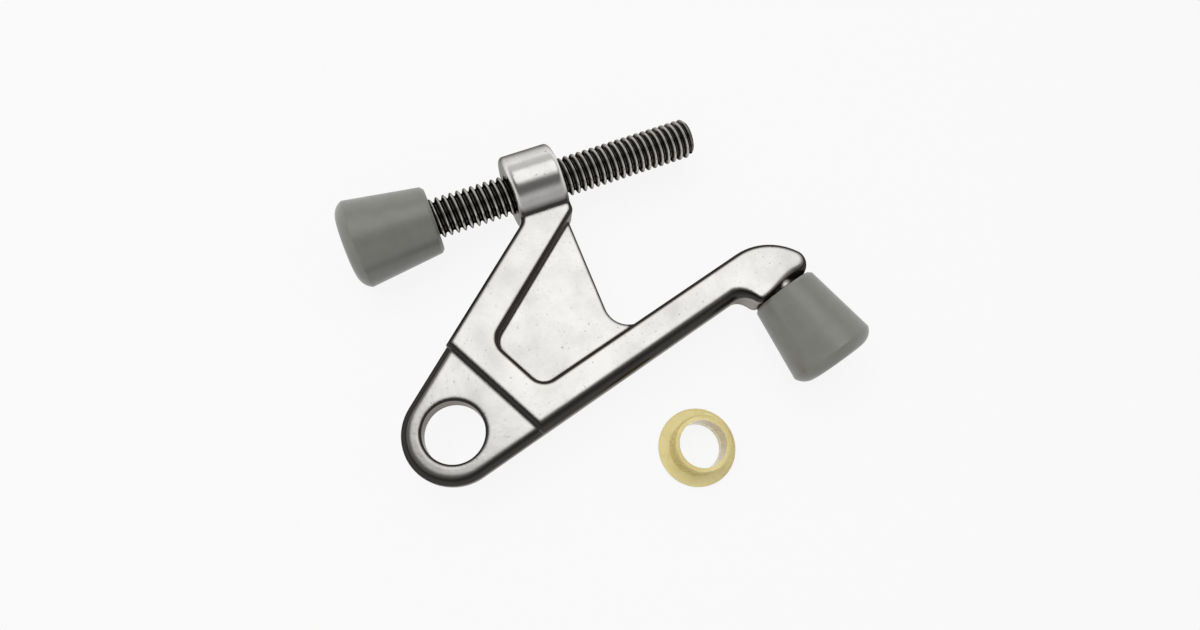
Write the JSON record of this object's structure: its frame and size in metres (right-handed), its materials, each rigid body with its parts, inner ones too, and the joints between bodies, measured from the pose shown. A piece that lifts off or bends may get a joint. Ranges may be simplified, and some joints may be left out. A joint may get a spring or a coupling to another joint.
{
  "type": "hinge pin door stop",
  "caption": "Cast door stop that hangs on a hinge pin by its eye, with a fixed rubber-tipped arm and a rubber-tipped threaded rod that sets how far the door opens.",
  "frame": {"origin": "on the axis of the hinge pin's hole, half way up the eye", "axes": "+Z along the hinge pin, +X along the fixed arm from the pin towards its tip, +Y towards the threaded rod"},
  "size_m": [0.0858, 0.0847, 0.0173],
  "materials": {
    "bright_plating": "polished nickel plating over a slightly uneven casting",
    "dark_rod": "bright rolled thread",
    "grey_rubber": "satin moulded rubber",
    "amber_plastic": "translucent unpigmented plastic"
  },
  "bodies": {
    "stop_frame": {"stop_body": "bright_plating", "arm_bumper": "grey_rubber", "hinge_pin_bush": "amber_plastic"},
    "rod_tip": {"rod_bumper": "grey_rubber"},
    "screw_rod": {"threaded_rod": "dark_rod"}
  },
  "joints": [
    {"name": "stop_travel", "type": "slide", "parent": "stop_frame", "child": "rod_tip", "axis": [-0.9711, 0.2385, 0], "range_m": [-0.0151, 0.0271]},
    {"name": "rod_turn", "type": "hinge", "parent": "rod_tip", "child": "screw_rod", "pos_m": [0.03941, 0.03247, 0], "axis": [-0.9711, 0.2385, 0], "range_deg": [-3826, 6887]}
  ],
  "couplings": [
    {"joint": "stop_travel", "follows": "rod_turn", "m_per_rad": 0.00022459}
  ]
}
